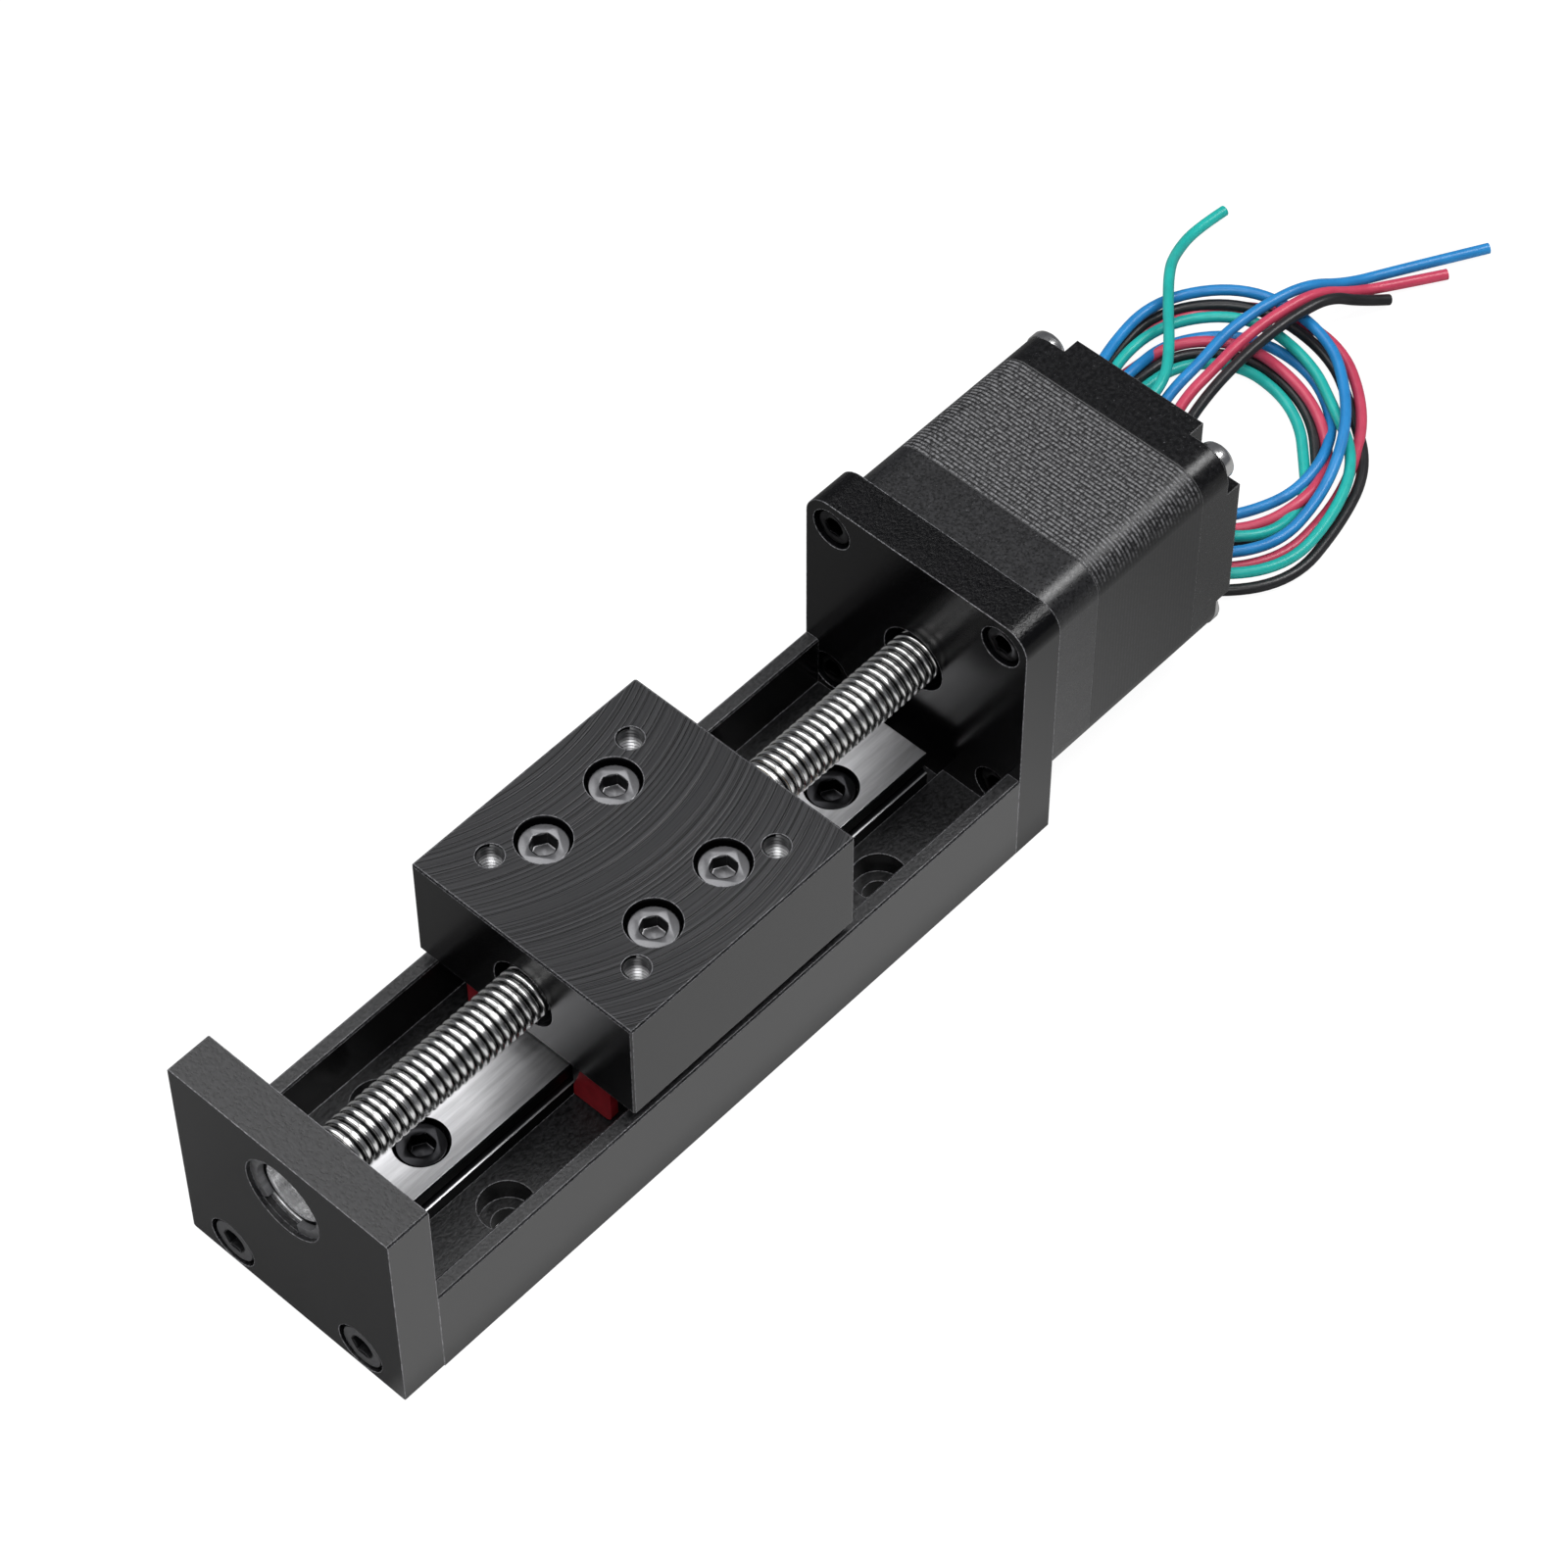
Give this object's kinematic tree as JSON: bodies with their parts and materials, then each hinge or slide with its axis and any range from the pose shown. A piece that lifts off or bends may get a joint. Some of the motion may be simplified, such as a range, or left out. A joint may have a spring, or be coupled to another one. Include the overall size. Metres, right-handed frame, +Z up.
{
  "type": "lead screw linear actuator",
  "caption": "Compact linear stage: a motor-driven lead screw moves a flat carriage along a profiled rail in a U-channel base.",
  "frame": {"origin": "centre of the base channel's bottom face, on the mounting surface", "axes": "+X along the lead screw towards the motor, +Z up out of the carriage's top, +Y completes the right hand"},
  "size_m": [0.1934, 0.0443, 0.035],
  "materials": {
    "black_anodised_aluminium": "black anodised, satin",
    "motor_housing": "black coated die casting, fine matt grain",
    "electrical_steel": "blackened lamination stack with fine sheet lines",
    "ground_steel": "ground and brushed, bright",
    "bearing_steel": "polished",
    "spring_steel": "phosphated spring steel",
    "black_oxide_screws": "black oxide steel, worn satin",
    "nickel_screws": "bright nickel",
    "cap_plastic": "moulded black",
    "red_seal": "red moulded wiper",
    "nut_brass": "turned brass",
    "copper_windings": "enamelled copper",
    "magnet": "dark sintered magnet",
    "grommet_rubber": "black rubber",
    "lead_black": "black lead sleeve",
    "lead_green": "green lead sleeve",
    "lead_blue": "blue lead sleeve",
    "lead_red": "red lead sleeve"
  },
  "bodies": {
    "base": {"base_channel": "black_anodised_aluminium", "end_plate": "black_anodised_aluminium", "end_plate_screws": "black_oxide_screws", "retaining_ring": "spring_steel", "end_bearing_outer_ring": "bearing_steel", "end_bearing_balls": "bearing_steel", "motor_mount": "black_anodised_aluminium", "mount_base_screws": "black_oxide_screws", "motor_mount_screws": "black_oxide_screws", "linear_rail": "ground_steel", "rail_screws": "black_oxide_screws", "motor_front_bell": "motor_housing", "motor_stator_stack": "electrical_steel", "stator_windings": "copper_windings", "motor_rear_bell": "motor_housing", "motor_tie_screws": "nickel_screws", "front_bearing_outer_ring": "bearing_steel", "front_bearing_balls": "bearing_steel", "rear_bearing_outer_ring": "bearing_steel", "rear_bearing_balls": "bearing_steel", "lead_grommet": "grommet_rubber", "lead_coil": "lead_blue", "lead_black_outlet": "lead_black", "lead_black_tail": "lead_black", "lead_green_outlet": "lead_green", "lead_green_tail": "lead_green", "lead_blue_outlet": "lead_blue", "lead_blue_tail": "lead_blue", "lead_red_outlet": "lead_red", "lead_red_tail": "lead_red"},
    "screw": {"lead_screw": "ground_steel", "rotor_front_core": "electrical_steel", "rotor_rear_core": "electrical_steel", "rotor_magnet": "magnet", "end_bearing_inner_ring": "bearing_steel", "front_bearing_inner_ring": "bearing_steel", "rear_bearing_inner_ring": "bearing_steel"},
    "carriage": {"carriage_block": "black_anodised_aluminium", "carriage_screws": "black_oxide_screws", "lead_nut": "nut_brass", "rail_block": "ground_steel", "rail_block_balls": "bearing_steel", "rail_block_end_caps": "cap_plastic", "rail_block_end_seals": "red_seal"}
  },
  "joints": [
    {"name": "screw_turn", "type": "hinge", "parent": "base", "child": "screw", "pos_m": [0, 0, 0.02], "axis": [1, 0, 0], "range_deg": [-8676, 9324]},
    {"name": "carriage_slide", "type": "slide", "parent": "base", "child": "carriage", "axis": [1, 0, 0], "range_m": [-0.0259, 0.0241]}
  ],
  "couplings": [
    {"joint": "screw_turn", "follows": "carriage_slide", "rad_per_m": -6283.2}
  ]
}
